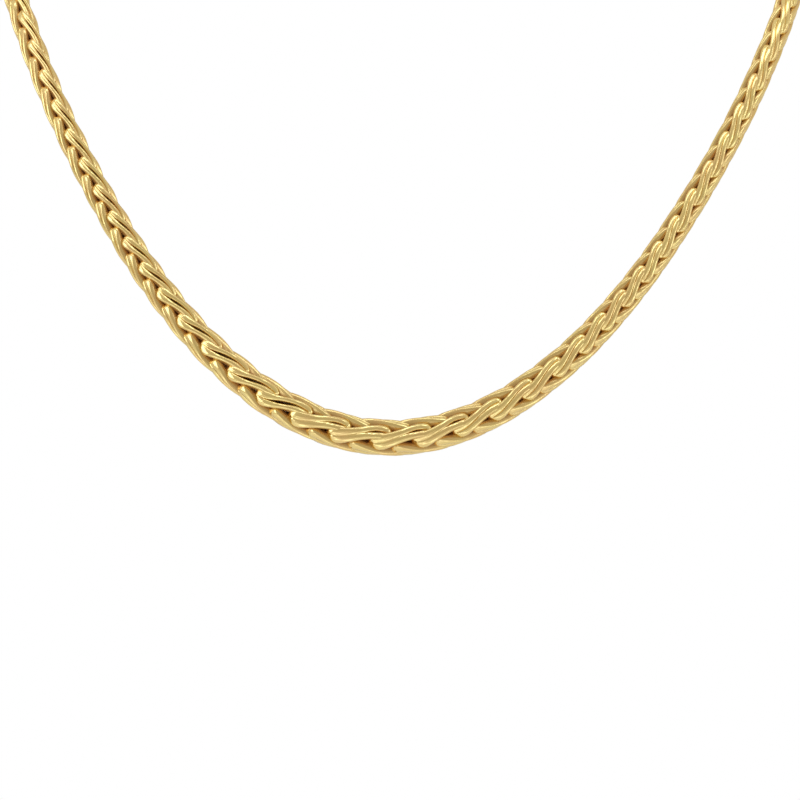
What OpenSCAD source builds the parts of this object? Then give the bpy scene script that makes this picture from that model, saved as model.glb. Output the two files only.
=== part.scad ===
// Graduated wheat chain necklace, closed round the neck by a plain barrel clasp.
// Millimetres, +Z up. The front centre of the chain faces -Y.
// The origin is the spot on the inner side of the clasp that lies against the nape.

/* [Chain] */
// Width across the four rows of links at the front centre
front_w = 6.1; // [5.5:0.1:6.5]
// Width that the chain slims down to towards the clasp
slim_w = 3.6; // [3:0.1:3.8]
// Distance along the chain from the front centre at which half of the extra width is gone
taper_run = 50; // [30:5:80]

/* [Clasp] */
// Length of the barrel
clasp_len = 13; // [10:0.5:16]
// Diameter of the barrel
clasp_d = 4.6; // [4.6:0.1:6]
// Rounding of the barrel's two rims
rim_r = 0.4; // [0.2:0.1:0.4]

/* [Hidden] */
$fn = 48;

// How far the clasp lies behind the chain's front centre, and how far above it
back_depth = 88;
back_rise = 110.5;

// Right half of the chain's centre line: [side, depth behind the front, rise above the front]
half_route = [
    [0, 0, 0],
    [8, 0.2, 1],
    [16, 1, 4],
    [24, 2.5, 9],
    [33, 5, 17],
    [42, 8, 28],
    [50, 12.5, 40.5],
    [57, 17.5, 53.5],
    [62.5, 23.5, 66],
    [66.5, 31.5, 77.5],
    [68, 41.5, 87.5],
    [66, 53, 95.5],
    [60, 64.5, 101.5],
    [50, 74.5, 106],
    [36.5, 82.5, 109],
    [21, 87, 110.5],
    [clasp_len / 2, back_depth, back_rise]
];

// The tube is swept with this many sides, and this many rings to each span of the route
sides = 12;
rings_per_span = 2;

last = len(half_route) - 1;
spans = 2 * last;

// Point k of the whole route, counted from the left end of the clasp round to its right end.
// The point past each end mirrors the last bend, so that the chain meets the barrel squarely.
last_bend = half_route[last - 1];
past_end = [clasp_len - last_bend.x, last_bend.y, last_bend.z];
function route_point(k) =
    k < 0 ? [-past_end.x, past_end.y, past_end.z]
    : k > spans ? past_end
    : k < last ? let (p = half_route[last - k]) [-p.x, p.y, p.z]
    : half_route[k - last];

// Smooth curve through the route's points, and its direction, at step t (0 to 1) of span k
function on_span(k, t) =
    let (a = route_point(k - 1), b = route_point(k), c = route_point(k + 1), d = route_point(k + 2))
    0.5 * (2 * b + (c - a) * t + (2 * a - 5 * b + 4 * c - d) * t * t
        + (3 * b - a - 3 * c + d) * t * t * t);
function along_span(k, t) =
    let (a = route_point(k - 1), b = route_point(k), c = route_point(k + 1), d = route_point(k + 2))
    unit((c - a) + 2 * (2 * a - 5 * b + 4 * c - d) * t + 3 * (3 * b - a - 3 * c + d) * t * t);

function unit(v) = v / norm(v);

// Width of the chain at a distance run along it from the front centre
function width_at(run) = slim_w + (front_w - slim_w) / (1 + pow(run / taper_run, 2));

// Centre, direction and distance along the chain of every ring of the tube
ring_count = spans * rings_per_span + 1;
ring_step = [for (i = [0 : ring_count - 1]) let (k = min(floor(i / rings_per_span), spans - 1))
    [k, i / rings_per_span - k]];
centres = [for (s = ring_step) on_span(s[0], s[1])];
directions = [for (s = ring_step) along_span(s[0], s[1])];
runs = [for (i = 0, run = 0; i < ring_count;
    run = i < ring_count - 1 ? run + norm(centres[i + 1] - centres[i]) : run, i = i + 1) run];
front_run = runs[(ring_count - 1) / 2];

// Ring i of the tube, square to the chain, starting on the side away from the neck's axis
function ring(i) =
    let (
        centre = centres[i],
        forward = directions[i],
        away = [centre.x, centre.y - back_depth / 2, 0],
        outward = unit(away - (away * forward) * forward),
        sideways = cross(forward, outward),
        r = width_at(runs[i] - front_run) / 2
    )
    [for (j = [0 : sides - 1]) let (turn = 360 * j / sides)
        centre + r * (cos(turn) * outward + sin(turn) * sideways)];

// The whole chain from one end of the clasp round to the other, as one plain tapered tube
module chain() {
    points = [for (i = [0 : ring_count - 1]) each ring(i)];
    wall = [for (i = [0 : ring_count - 2], j = [0 : sides - 1])
        let (a = i * sides, b = a + sides, n = (j + 1) % sides)
        [a + j, a + n, b + n, b + j]];
    first_end = [for (j = [sides - 1 : -1 : 0]) j];
    last_end = [for (j = [0 : sides - 1]) (ring_count - 1) * sides + j];
    color("gold")
        to_nape()
            polyhedron(points = points, faces = concat([first_end, last_end], wall));
}

// Plain barrel that closes the loop at the nape, with softly rounded rims
module clasp() {
    color("goldenrod")
        to_nape()
            translate([-clasp_len / 2, back_depth, back_rise])
                rotate([0, 90, 0])
                    rotate_extrude()
                        barrel_half();
}

// Half of the barrel's lengthwise section, from its axis out to the wall
module barrel_half() {
    r = clasp_d / 2;
    square([r - rim_r, clasp_len]);
    translate([0, rim_r])
        square([r, clasp_len - 2 * rim_r]);
    for (y = [rim_r, clasp_len - rim_r])
        translate([r - rim_r, y])
            circle(r = rim_r);
}

// Moves the origin from the front centre to the clasp's inner side
module to_nape() {
    translate([0, clasp_d / 2 - back_depth, -back_rise])
        children();
}

chain();
clasp();
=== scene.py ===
import math

import bpy
from mathutils import Matrix, Vector


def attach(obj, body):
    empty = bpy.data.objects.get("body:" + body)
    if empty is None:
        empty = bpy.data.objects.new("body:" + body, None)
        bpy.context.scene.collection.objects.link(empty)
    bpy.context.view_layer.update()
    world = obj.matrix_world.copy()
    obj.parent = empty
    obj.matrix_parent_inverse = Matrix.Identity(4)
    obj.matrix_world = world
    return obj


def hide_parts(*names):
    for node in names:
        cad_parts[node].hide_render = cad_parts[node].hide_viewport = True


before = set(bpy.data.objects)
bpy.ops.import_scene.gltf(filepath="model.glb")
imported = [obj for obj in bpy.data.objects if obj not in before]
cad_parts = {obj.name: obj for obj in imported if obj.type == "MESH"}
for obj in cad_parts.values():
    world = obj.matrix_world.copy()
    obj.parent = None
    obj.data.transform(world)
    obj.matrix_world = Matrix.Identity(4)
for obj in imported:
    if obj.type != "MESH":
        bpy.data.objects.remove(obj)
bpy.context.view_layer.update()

mm = 0.001

# The line that the chain hangs in, as the part has it. All of it is in millimetres.
neckline = {
    "rightHalf": [      # side, depth behind the front centre, rise above it
        (0, 0, 0), (8, 0.2, 1), (16, 1, 4), (24, 2.5, 9), (33, 5, 17), (42, 8, 28),
        (50, 12.5, 40.5), (57, 17.5, 53.5), (62.5, 23.5, 66), (66.5, 31.5, 77.5),
        (68, 41.5, 87.5), (66, 53, 95.5), (60, 64.5, 101.5), (50, 74.5, 106),
        (36.5, 82.5, 109), (21, 87, 110.5), (6.5, 88, 110.5),
    ],
    "claspLength": 13,
    "frontCentre": (0, -85.7, -110.5),      # seen from the origin at the nape
    "stepsPerSpan": 24,
}

# How the links shrink from the front of the chain to the clasp, in millimetres
graduation = {
    "frontWidth": 6.1,      # across all four rows
    "slimWidth": 3.8,
    "taperRun": 50,         # half of the extra width is gone this far along
    "slimPitch": 5.1,       # from one link of a row to the next
    "longer": [             # extra pitch, round this distance, half gone this far off, how sharply
        (0.85, 95, 28, 4),      # high on the arms
        (1.15, 0, 40, 12),      # along the front
        (0.65, 0, 14, 4),       # the few in the middle
    ],
    "slide": -4,            # the whole chain has slid this far round to the left
}

# How the chain lies
lay = {
    "middleLink": 2.5,      # the middle front link sits this far right of the front centre
    "roll": 9.5,            # degrees that the chain is rolled about its own line
    "leftRoll": 35,         # more on the left arm, half of it leftRollRun along
    "leftRollRun": 30,
    "middleRoll": -6,       # and less in the middle, half of it middleRollRun along
    "middleRollRun": 28,
    "middleRollEdge": 4,    # how sharply that ends
    "intoClasp": 7.6,       # the last links run this far into the barrel
    "frontPart": 60,        # the front piece of the chain reaches this far to each side
    "pressedPart": 14,      # and its pressed links this far
}

# The middle link of the front row, in millimetres. Every other link is a copy, scaled to its place.
link = {
    "pitch": 7.05,          # from it to the next link of its row
    "bend": 0.76,           # radius of the wire's centre line round each end
    "bendSides": 10,
    "wire": 0.66,           # half the wire's thickness
    "wireSides": 6,
    "length": 12.1,         # over both ends
    "cuts": 4,              # across each straight stretch of wire
    "leftPart": (-0.9, -0.5),       # the straight stretches, in shares of halfDraw
    "middlePart": (-0.5, 0.5),
    "rightPart": (0.5, 0.9),
    "deep": 1.0,            # how much deeper than round the wire is on its inner side
    "crown": 2.5,           # wire centre above the chain's own line, at the middle
    "dip": 26,              # degrees of the arch along the link
    "turnFrom": 0.22,       # share of the length at which the turn along the link starts
    "leftEnd": 1.14,        # the left end is this much wider than the right one
    "hollow": 0.6,          # reach of the hollow inside an end, as a share of bend
    "bowlDown": 0.25,       # how far the hollow in the right end lies below the outer face
    "tipDown": 0.45,        # how far the ends bow towards the core
    "leftDown": 0.4,        # and the whole left end with them
    "corner": 0.3,          # the left end's corner starts this far from the link's own line
    "cornerIn": 0.65,       # how far it is rounded off on the side that it turns to
    "sideShade": 0.3,       # how much of the painted shade the sides of the wire have
}
halfDraw = link["length"] / 2 - link["bend"] - link["wire"]     # from the middle to an end's centre
slack = 0.1             # vertices within this of a line or plane count as lying on it

# The few links in the middle are pressed flat and open only towards the right end. Those on the
# left arm gape along the middle, those on the right arm lie closed. The slit between the two
# wires is as wide as in a plain ring at 1, shut at 0, and they run into one another below that.
forms = {
    "pressed": {
        "flatTop": 1.6,                 # how much broader than round the wire's outer face is
        "waist": 0.92,                  # width in the middle of the link
        "slit": (-1.0, -1.0, 1.3),      # left stretch, middle and right stretch
        "endSlit": (-1.0, -0.2),        # inside the left and the right end
        "seam": -1.0,                   # the outer faces meet no closer than this
        "turn": 47,                     # degrees from one end round to the other
    },
    "gaping": {
        "flatTop": 1.3,
        "waist": 0.94,
        "slit": (-0.4, 1.15, 0.3),
        "endSlit": (-0.4, 0),
        "seam": -0.4,
        "turn": 50,
    },
    "closed": {
        "flatTop": 1.2,
        "waist": 0.94,
        "slit": (-0.5, -0.5, -0.3),
        "endSlit": (-0.5, -0.2),
        "seam": -0.2,
        "turn": 50,
    },
}


# One span of the smooth curve through the points b and c, at t from 0 to 1
def onSpan(a, b, c, d, t):
    return 0.5 * (2 * b + (c - a) * t + (2 * a - 5 * b + 4 * c - d) * t * t
                  + (3 * b - a - 3 * c + d) * t ** 3)


# Points of the neckline in even steps of each span, from the left end of the clasp to its right end
def pointsAlong():
    right = [Vector(p) for p in neckline["rightHalf"]]
    left = [Vector((-p.x, p.y, p.z)) for p in reversed(right[1:])]
    pastRight = Vector((neckline["claspLength"] - right[-2].x, right[-2].y, right[-2].z))
    pastLeft = Vector((-pastRight.x, pastRight.y, pastRight.z))
    points = [pastLeft] + left + right + [pastRight]
    toPart = Vector(neckline["frontCentre"])
    count = neckline["stepsPerSpan"]
    places = []
    for k in range(len(points) - 3):
        for i in range(count):
            places.append(onSpan(*points[k:k + 4], i / count) + toPart)
    places.append(points[-2] + toPart)
    return places


# Every step along the neckline has its distance along the chain from the front centre, its place,
# its direction and its outward side, which turns no more than the chain bends
def traceNeckline():
    places = pointsAlong()
    count = len(places)
    middle = count // 2
    runs = [0.0]
    forwards = []
    for i in range(count):
        if i > 0:
            runs.append(runs[-1] + (places[i] - places[i - 1]).length)
        ahead = places[min(i + 1, count - 1)] - places[max(i - 1, 0)]
        forwards.append(ahead.normalized())
    runs = [run - runs[middle] for run in runs]

    outs = {middle: Vector((0, -1, 0))}
    for way in (1, -1):
        i = middle
        while 0 <= i + way < count:
            turned = forwards[i].rotation_difference(forwards[i + way]) @ outs[i]
            i += way
            outs[i] = (turned - turned.dot(forwards[i]) * forwards[i]).normalized()
    print("neckline:", round(runs[-1] - runs[0], 1), "mm of chain")
    return [(runs[i], places[i], forwards[i], outs[i]) for i in range(count)]


# Place, direction and rolled outward side of the chain at a distance along it
def atRun(steps, run):
    low, high = 0, len(steps) - 1
    while high - low > 1:
        middle = (low + high) // 2
        if steps[middle][0] <= run:
            low = middle
        else:
            high = middle
    share = (run - steps[low][0]) / (steps[high][0] - steps[low][0])
    place = steps[low][1].lerp(steps[high][1], share)
    forward = steps[low][2].lerp(steps[high][2], share).normalized()
    out = steps[low][3].lerp(steps[high][3], share)
    out = (out - out.dot(forward) * forward).normalized()
    roll = math.radians(rollAt(run))
    return place, forward, math.cos(roll) * out + math.sin(roll) * out.cross(forward)


# What is left of something this far away, where half of it is gone at reach
def fade(away, reach, edge=2):
    return 1 / (1 + (away / reach) ** edge)


def rollAt(run):
    onLeft = 1 - fade(min(run, 0), lay["leftRollRun"])
    inMiddle = fade(run, lay["middleRollRun"], lay["middleRollEdge"])
    return lay["roll"] + lay["leftRoll"] * onLeft + lay["middleRoll"] * inMiddle


def widthAt(run):
    extra = graduation["frontWidth"] - graduation["slimWidth"]
    return graduation["slimWidth"] + extra * fade(run - graduation["slide"], graduation["taperRun"])


def pitchAt(run):
    away = abs(run - graduation["slide"])
    pitch = graduation["slimPitch"]
    for extra, centre, reach, edge in graduation["longer"]:
        pitch += extra * fade(away - centre, reach, edge)
    return pitch


def formAt(run):
    if abs(run - graduation["slide"]) < lay["pressedPart"]:
        return "pressed"
    return "gaping" if run < 0 else "closed"


# Selects the vertices of the open mesh that a test picks by their place
def pick(test):
    bpy.ops.mesh.select_all(action="DESELECT")
    bpy.ops.object.mode_set(mode="OBJECT")
    for vertex in bpy.context.object.data.vertices:
        vertex.select = test(vertex.co)
    bpy.ops.object.mode_set(mode="EDIT")


def move(test, step):
    pick(test)
    bpy.ops.transform.translate(value=step)


def stretch(test, size, centre=(0, 0, 0)):
    pick(test)
    bpy.ops.transform.resize(value=size, center_override=centre)


# Turns the whole open mesh about the X axis
def turnOver(degrees):
    pick(lambda co: True)
    bpy.ops.transform.rotate(value=math.radians(degrees), orient_axis="X",
                             center_override=(0, 0, 0))


def applyDeform(piece, method, axis, degrees, limits=(0, 1)):
    deform = piece.modifiers.new(method.lower(), "SIMPLE_DEFORM")
    deform.deform_method = method
    deform.deform_axis = axis
    deform.angle = math.radians(degrees)
    deform.limits = limits
    bpy.ops.object.modifier_apply(modifier=deform.name)


# A ring of wire with its outer face up, broad and flat, and its inner side as deep as the core
def bendWire(flatTop):
    bend, wire = link["bend"], link["wire"]
    bpy.ops.mesh.primitive_torus_add(major_segments=link["bendSides"], major_radius=bend,
                                     minor_segments=link["wireSides"], minor_radius=wire)
    bpy.ops.object.mode_set(mode="EDIT")
    bpy.ops.mesh.select_mode(type="VERT")
    inset = wire * math.cos(2 * math.pi / link["wireSides"])
    for side in (1, -1):
        rim = bend + side * inset
        wider = (bend + side * inset * flatTop) / rim
        stretch(lambda co: co.z > slack and abs(co.xy.length - rim) < slack, (wider, wider, 1))
    move(lambda co: co.z < -slack, (0, 0, -link["deep"]))


# Draws the ring out to the link's length and cuts across its two straight stretches
def drawOut(mesh):
    for side in (1, -1):
        move(lambda co: co.x * side > 0, (side * halfDraw, 0, 0))
    pick(lambda co: False)
    bpy.ops.mesh.select_mode(type="EDGE")
    bpy.ops.object.mode_set(mode="OBJECT")
    for edge in mesh.edges:
        a, b = (mesh.vertices[i].co for i in edge.vertices)
        edge.select = (a - b).length > halfDraw
    bpy.ops.object.mode_set(mode="EDIT")
    bpy.ops.mesh.subdivide(number_cuts=link["cuts"])
    bpy.ops.mesh.select_mode(type="VERT")


# Pinches the waist, widens the left end and closes the slit between the two wires, or opens it
def pinch(form):
    parts = [[share * halfDraw for share in link[name]]
             for name in ("leftPart", "middlePart", "rightPart")]
    leftPart, middlePart = parts[:2]
    stretch(lambda co: middlePart[0] < co.x < middlePart[1], (1, form["waist"], 1))
    stretch(lambda co: co.x < leftPart[1], (1, link["leftEnd"], 1))
    inside = link["bend"] - slack
    for onTop in (True, False):
        for (near, far), share in zip(parts, form["slit"]):
            keep = max(share, form["seam"]) if onTop else share
            stretch(lambda co: near < co.x < far and abs(co.y) < inside
                    and (co.z > slack) == onTop, (1, keep, 1))
        for side, share in zip((-1, 1), form["endSlit"]):
            keep = max(share, form["seam"]) if onTop else share
            end = Vector((side * halfDraw, 0, 0))
            stretch(lambda co: co.x * side > halfDraw and (co - end).xy.length < inside
                    and (co.z > slack) == onTop, (keep, keep, 1), end)


# Keeps for the material how deep each vertex lies, which sets its share of painted shade, and where
# it is on the straight wire
def storeShades(mesh):
    shadeMask = mesh.attributes.new("shadeMask", "FLOAT", "POINT")
    onWire = mesh.attributes.new("onWire", "FLOAT_VECTOR", "POINT")
    for vertex in mesh.vertices:
        # painted shade: full on the deep inner side, a share on the sides, none on the outer face
        isSide = abs(vertex.co.z) < slack
        shadeMask.data[vertex.index].value = link["sideShade"] if isSide else vertex.co.z < 0
        onWire.data[vertex.index].vector = vertex.co


# Hollows the right end, bows both ends towards the core and rounds off the left one's corner
def shapeEnds(turn):
    hollow = link["hollow"] * link["bend"]
    rightEnd = Vector((halfDraw, 0, 0))
    move(lambda co: co.x > halfDraw and (co - rightEnd).xy.length < hollow,
         (0, 0, -link["bowlDown"]))
    move(lambda co: abs(co.x) > halfDraw + hollow, (0, 0, -link["tipDown"]))
    move(lambda co: co.x < -halfDraw - slack, (0, 0, -link["leftDown"]))
    corner = math.copysign(1, turn)
    move(lambda co: co.x < -halfDraw - slack and co.y * corner > link["corner"],
         (link["cornerIn"], 0, 0))


# One link lying along X, with its outer face up and the chain's own line on the X axis
def makeLink(name, form, turn):
    bendWire(form["flatTop"])
    piece = bpy.context.object
    piece.name = name
    drawOut(piece.data)
    pinch(form)
    bpy.ops.object.mode_set(mode="OBJECT")
    storeShades(piece.data)
    bpy.ops.object.mode_set(mode="EDIT")
    shapeEnds(turn)

    turnOver(-90)       # because the bend is made about Z
    bpy.ops.object.mode_set(mode="OBJECT")
    applyDeform(piece, "BEND", "Z", link["dip"])
    bpy.ops.object.mode_set(mode="EDIT")
    turnOver(90)
    move(lambda co: True, (0, 0, link["crown"]))
    bpy.ops.object.mode_set(mode="OBJECT")
    applyDeform(piece, "TWIST", "X", turn, (link["turnFrom"], 1 - link["turnFrom"]))
    bpy.ops.object.shade_smooth()
    print(name + ":", len(piece.data.polygons), "faces")
    return piece


# Distance along the chain and row of every pair of opposite links: row 0 lies front and back, row 1
# above and below. A pair sits half a pitch from the last, the pitch being that between the two.
def placePairs(steps):
    first = steps[0][0] - lay["intoClasp"]
    last = steps[-1][0] + lay["intoClasp"]
    pairs = [(lay["middleLink"], 0)]
    for way in (1, -1):
        run, row = pairs[0]
        while True:
            run += way * pitchAt(run + way * pitchAt(run) / 4) / 2
            row = 1 - row
            reach = link["length"] / link["pitch"] * pitchAt(run) / 2
            if run - reach < first or run + reach > last:
                break
            pairs.append((run, row))
    return sorted(pairs)


# The two links of a pair, copied into their place
def hangPair(steps, run, master, row):
    place, forward, out = atRun(steps, run)
    long = pitchAt(run) / link["pitch"]
    wide = widthAt(run) / graduation["frontWidth"]
    pair = []
    for side in (1, -1):
        top = side * (out.cross(forward) if row else out)
        across = top.cross(forward)
        toPlace = Matrix((long * forward, wide * across, wide * top)).transposed().to_4x4()
        toPlace.translation = place
        copy = master.copy()
        copy.data = master.data.copy()
        copy.data.transform(Matrix.Scale(mm, 4) @ toPlace)
        bpy.context.scene.collection.objects.link(copy)
        pair.append(copy)
    return pair


def joinLinks(name, links, gold):
    bpy.ops.object.select_all(action="DESELECT")
    for each in links:
        each.select_set(True)
    bpy.context.view_layer.objects.active = links[0]
    bpy.ops.object.join()
    piece = bpy.context.object
    piece.name = name
    piece.data.name = name
    piece.data.materials.append(gold)
    smooth = piece.modifiers.new("smooth", "SUBSURF")
    smooth.levels = smooth.render_levels = 1
    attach(piece, "root")
    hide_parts("chain")
    print(name + ":", len(links), "links,", len(piece.data.polygons), "faces")


# Every link of the chain. The upper and lower rows are twisted against the front and back ones, so
# that neighbours meet in V's.
def hangLinks(steps, gold):
    masters = {}
    for name, form in forms.items():
        masters[name] = [makeLink(name + "Front", form, -form["turn"]),
                         makeLink(name + "Side", form, form["turn"])]
    pieces = {"chain_left": [], "chain_front": [], "chain_right": []}
    for run, row in placePairs(steps):
        name = "chain_front"
        if abs(run) > lay["frontPart"]:
            name = "chain_left" if run < 0 else "chain_right"
        pieces[name] += hangPair(steps, run, masters[formAt(run)][row], row)
    for pair in masters.values():
        for master in pair:
            bpy.data.objects.remove(master)
    for name, links in pieces.items():
        joinLinks(name, links, gold)


# Both golds are the same metal. The chain's streaks are those of drawn wire.
golds = {
    "chain": {
        "colour": (0.92, 0.70, 0.27, 1),
        "wornColour": (0.88, 0.60, 0.24, 1),
        "wearScale": 0.35,          # patches of wear to a millimetre
        "streakScale": 1.8,         # streaks to a millimetre
        "streakStretch": 0.12,      # streaks run this much slower along the wire
        "polish": 0.12,             # roughness where nothing is worn
        "streakDepth": 0.07 * mm,
    },
    "clasp": {
        "colour": (0.93, 0.70, 0.30, 1),
        "wornColour": (0.87, 0.60, 0.25, 1),
        "wearScale": 0.5,
        "streakScale": 3,
        "streakStretch": 0.3,
        "polish": 0.17,
        "streakDepth": 0.006 * mm,
    },
}

# Wear of both golds
wear = {
    "patchDetail": 3,
    "patches": (0.35, 0.7),         # noise below the first is unworn, above the second worn
    "dulling": 0.07,                # how much rougher a worn patch is
    "streakDetail": 2,
}

# Painted shade: down between the links the chain is painted a darker red-brown, duller and less
# metallic, standing in for the shade that falls there
recessShade = {
    "colour": (0.33, 0.10, 0.01, 1),
    "roughness": 0.5,
    "metal": 0.5,
}


# Mix node of the given kind, from socket a to socket or value b by a share
def addMix(nodes, wires, kind, share, a, b):
    mix = nodes.new("ShaderNodeMix")
    mix.data_type = kind
    wires.new(share, mix.inputs["Factor"])
    wires.new(a, mix.inputs["A"])
    if isinstance(b, bpy.types.NodeSocket):
        wires.new(b, mix.inputs["B"])
    else:
        mix.inputs["B"].default_value = b
    return mix.outputs["Result"]


# Node group: wear in patches and fine streaks. Both places are in millimetres.
def makeWornGold():
    group = bpy.data.node_groups.new("wornGold", "ShaderNodeTree")
    sockets = {
        "INPUT": (("Wear Place", "Vector"), ("Streak Place", "Vector"), ("Color", "Color"),
                  ("Worn Color", "Color"), ("Wear Scale", "Float"), ("Streak Scale", "Float"),
                  ("Polish", "Float")),
        "OUTPUT": (("Color", "Color"), ("Roughness", "Float"), ("Height", "Float")),
    }
    for side, wanted in sockets.items():
        for name, kind in wanted:
            group.interface.new_socket(name, in_out=side, socket_type="NodeSocket" + kind)
    nodes, wires = group.nodes, group.links
    given = nodes.new("NodeGroupInput").outputs
    made = nodes.new("NodeGroupOutput").inputs

    patchy = nodes.new("ShaderNodeTexNoise")
    patchy.inputs["Detail"].default_value = wear["patchDetail"]
    wires.new(given["Wear Place"], patchy.inputs["Vector"])
    wires.new(given["Wear Scale"], patchy.inputs["Scale"])
    patches = nodes.new("ShaderNodeMapRange")
    patches.inputs["From Min"].default_value = wear["patches"][0]
    patches.inputs["From Max"].default_value = wear["patches"][1]
    wires.new(patchy.outputs["Fac"], patches.inputs["Value"])
    worn = addMix(nodes, wires, "RGBA", patches.outputs["Result"], given["Color"],
                  given["Worn Color"])
    wires.new(worn, made["Color"])
    duller = nodes.new("ShaderNodeMath")
    duller.operation = "MULTIPLY_ADD"
    duller.inputs[1].default_value = wear["dulling"]
    wires.new(patches.outputs["Result"], duller.inputs[0])
    wires.new(given["Polish"], duller.inputs[2])
    wires.new(duller.outputs["Value"], made["Roughness"])

    streaks = nodes.new("ShaderNodeTexNoise")
    streaks.inputs["Detail"].default_value = wear["streakDetail"]
    wires.new(given["Streak Place"], streaks.inputs["Vector"])
    wires.new(given["Streak Scale"], streaks.inputs["Scale"])
    wires.new(streaks.outputs["Fac"], made["Height"])
    return group


# The chain's streaks follow the wire, the clasp's run round its barrel
def makeGold(name, group):
    look = golds[name]
    material = bpy.data.materials.new(name + "Gold")
    material.use_nodes = True
    nodes, wires = material.node_tree.nodes, material.node_tree.links
    shader = nodes["Principled BSDF"]
    shader.inputs["Metallic"].default_value = 1
    gold = nodes.new("ShaderNodeGroup")
    gold.name = "wornGold"
    gold.node_tree = group
    for socket, key in (("Color", "colour"), ("Worn Color", "wornColour"),
                        ("Wear Scale", "wearScale"), ("Streak Scale", "streakScale"),
                        ("Polish", "polish")):
        gold.inputs[socket].default_value = look[key]

    place = nodes.new("ShaderNodeTexCoord")
    inMm = nodes.new("ShaderNodeMapping")
    inMm.inputs["Scale"].default_value = (1 / mm, 1 / mm, 1 / mm)
    wires.new(place.outputs["Object"], inMm.inputs["Vector"])
    wires.new(inMm.outputs["Vector"], gold.inputs["Wear Place"])
    streakPlace = inMm.outputs["Vector"]
    if name == "chain":
        onWire = nodes.new("ShaderNodeAttribute")
        onWire.attribute_name = "onWire"
        streakPlace = onWire.outputs["Vector"]
    along = nodes.new("ShaderNodeMapping")
    along.inputs["Scale"].default_value = (look["streakStretch"], 1, 1)
    wires.new(streakPlace, along.inputs["Vector"])
    wires.new(along.outputs["Vector"], gold.inputs["Streak Place"])

    bump = nodes.new("ShaderNodeBump")
    bump.inputs["Distance"].default_value = look["streakDepth"]
    wires.new(gold.outputs["Height"], bump.inputs["Height"])
    wires.new(bump.outputs["Normal"], shader.inputs["Normal"])
    wires.new(gold.outputs["Color"], shader.inputs["Base Color"])
    wires.new(gold.outputs["Roughness"], shader.inputs["Roughness"])
    print(material.name + ":", len(nodes), "nodes")
    return material


# Puts the painted shade of the recesses, darker, redder and duller, between the worn gold and the
# shader of the chain's material
def paintRecessShade(material):
    nodes, wires = material.node_tree.nodes, material.node_tree.links
    shader, gold = nodes["Principled BSDF"], nodes["wornGold"]
    shadeMask = nodes.new("ShaderNodeAttribute")
    shadeMask.attribute_name = "shadeMask"
    # how much painted shade this point gets, from none on the outer face to full deep down
    shadeShare = shadeMask.outputs["Fac"]
    colour = addMix(nodes, wires, "RGBA", shadeShare, gold.outputs["Color"], recessShade["colour"])
    wires.new(colour, shader.inputs["Base Color"])
    rough = addMix(nodes, wires, "FLOAT", shadeShare, gold.outputs["Roughness"], recessShade["roughness"])
    wires.new(rough, shader.inputs["Roughness"])
    metal = nodes.new("ShaderNodeMapRange")
    metal.inputs["To Min"].default_value = 1
    metal.inputs["To Max"].default_value = recessShade["metal"]
    wires.new(shadeShare, metal.inputs["Value"])
    wires.new(metal.outputs["Result"], shader.inputs["Metallic"])


def dressClasp(gold):
    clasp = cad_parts["clasp"]
    clasp.data.materials.clear()
    clasp.data.materials.append(gold)


# The photo is square. Lengths are in millimetres unless a note says otherwise.
camera = {
    "pixelsPerMm": 5.989,
    "frontCentre": (385.2, 437.3),  # where the photo shows the front centre, in pixels
    "side": 800,                    # of the photo, in pixels
    "distance": 1600,
    "clip": (100, 50000),           # nearest and furthest that it sees
    "sensor": 36,
    "lean": 1.79,                   # degrees that the photo is turned
}


def setCamera():
    scale, half = camera["pixelsPerMm"], camera["side"] / 2
    turn = Matrix.Rotation(math.radians(-camera["lean"]), 3, "Y")
    right, up = turn @ Vector((1, 0, 0)), turn @ Vector((0, 0, 1))
    x, y = camera["frontCentre"]
    place = Vector(neckline["frontCentre"]) + (half - x) / scale * right + (y - half) / scale * up
    place.y -= camera["distance"]
    data = bpy.data.cameras.new("camera")
    data.sensor_width = camera["sensor"]
    data.lens = camera["sensor"] * camera["distance"] * scale / camera["side"]
    data.clip_start, data.clip_end = (reach * mm for reach in camera["clip"])
    viewer = bpy.data.objects.new("camera", data)
    viewer.location = place * mm
    viewer.rotation_euler = (turn @ Matrix.Rotation(math.radians(90), 3, "X")).to_euler()
    bpy.context.scene.collection.objects.link(viewer)
    bpy.context.scene.camera = viewer
    print("camera:", round(data.lens), "mm lens")


# Metres. The surround is what the gold mirrors, from the camera's side round to the far side; the
# camera itself sees the plain background.
studio = {
    "view": "Standard",
    "surround": [       # share of the way round, colour
        (0, (0.50, 0.485, 0.44, 1)),
        (0.15, (0.59, 0.58, 0.54, 1)),
        (0.5, (0.75, 0.745, 0.72, 1)),
    ],
    "background": (1, 1, 1, 1),
    "lamps": {          # place, width and height, power in watts
        "topBox": ((0, -0.32, 0.72), (1.2, 0.2), 1.9),
        "leftBox": ((-0.78, -0.42, 0.1), (0.5, 0.8), 2.6),
        "rightBox": ((0.82, -0.42, -0.05), (0.18, 1.0), 1.1),
        "lowBox": ((0, -0.38, -0.45), (1.0, 0.1), 0.35),
    },
    "lampColour": (0.64, 0.79, 1.0),
    "aim": (0, -0.06, -0.09),
    "floorHeight": -0.5,
    "floorSize": 6,
    "floorColour": (0.95, 0.95, 0.94, 1),
    "floorRoughness": 0.9,
}


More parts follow.
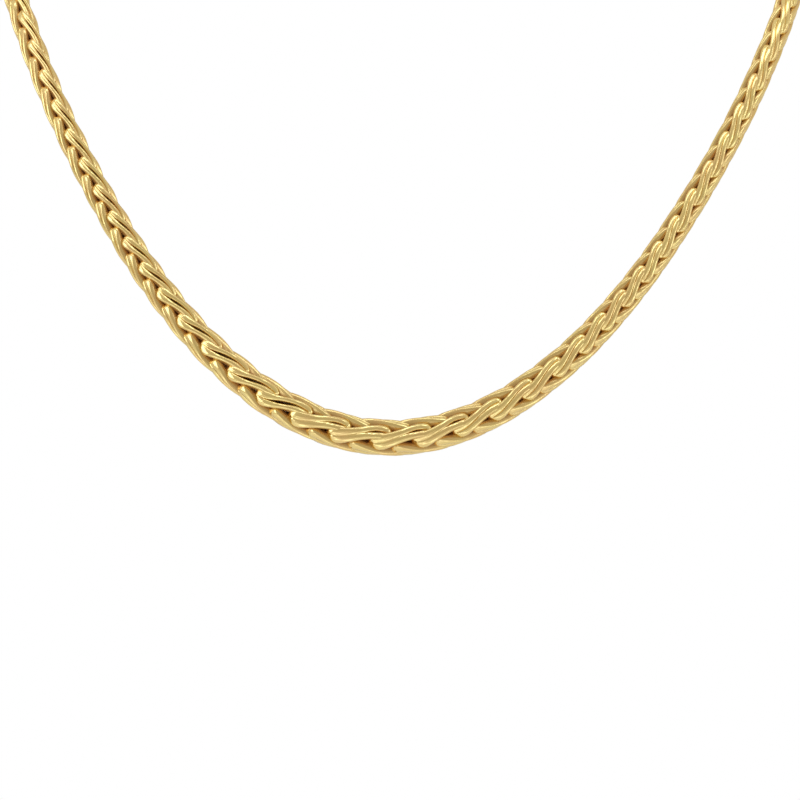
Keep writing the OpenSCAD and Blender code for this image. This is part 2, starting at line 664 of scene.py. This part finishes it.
def setSurround():
    world = bpy.data.worlds.new("studio")
    world.use_nodes = True
    bpy.context.scene.world = world
    nodes, wires = world.node_tree.nodes, world.node_tree.links
    towards = nodes.new("ShaderNodeTexCoord")
    apart = nodes.new("ShaderNodeSeparateXYZ")
    wires.new(towards.outputs["Generated"], apart.inputs["Vector"])
    share = nodes.new("ShaderNodeMapRange")
    share.inputs["From Min"].default_value = -1
    wires.new(apart.outputs["Y"], share.inputs["Value"])
    ramp = nodes.new("ShaderNodeValToRGB")
    stops = ramp.color_ramp.elements
    for position, _ in studio["surround"][1:-1]:
        stops.new(position)
    for stop, (position, colour) in zip(stops, studio["surround"]):
        stop.position, stop.color = position, colour
    wires.new(share.outputs["Result"], ramp.inputs["Fac"])
    seen = nodes.new("ShaderNodeLightPath")
    colour = addMix(nodes, wires, "RGBA", seen.outputs["Is Camera Ray"], ramp.outputs["Color"],
                    studio["background"])
    wires.new(colour, nodes["Background"].inputs["Color"])


def setLamps():
    for name, (place, size, power) in studio["lamps"].items():
        data = bpy.data.lights.new(name, "AREA")
        data.shape = "RECTANGLE"
        data.size, data.size_y = size
        data.energy = power
        data.color = studio["lampColour"]
        lamp = bpy.data.objects.new(name, data)
        lamp.location = place
        towards = Vector(studio["aim"]) - lamp.location
        lamp.rotation_euler = towards.to_track_quat("-Z", "Y").to_euler()
        bpy.context.scene.collection.objects.link(lamp)


def layFloor():
    bpy.ops.mesh.primitive_plane_add(size=studio["floorSize"],
                                     location=(0, 0, studio["floorHeight"]))
    floor = bpy.context.object
    floor.name = "floor"
    pale = bpy.data.materials.new("paleFloor")
    pale.use_nodes = True
    shader = pale.node_tree.nodes["Principled BSDF"]
    shader.inputs["Base Color"].default_value = studio["floorColour"]
    shader.inputs["Roughness"].default_value = studio["floorRoughness"]
    floor.data.materials.append(pale)


def setStudio():
    bpy.context.scene.view_settings.view_transform = studio["view"]
    setSurround()
    setLamps()
    layFloor()
    print("studio:", len(studio["lamps"]), "lamps")


bpy.ops.object.select_all(action="DESELECT")
steps = traceNeckline()
wornGold = makeWornGold()
chainGold = makeGold("chain", wornGold)
paintRecessShade(chainGold)
hangLinks(steps, chainGold)
dressClasp(makeGold("clasp", wornGold))
setCamera()
setStudio()
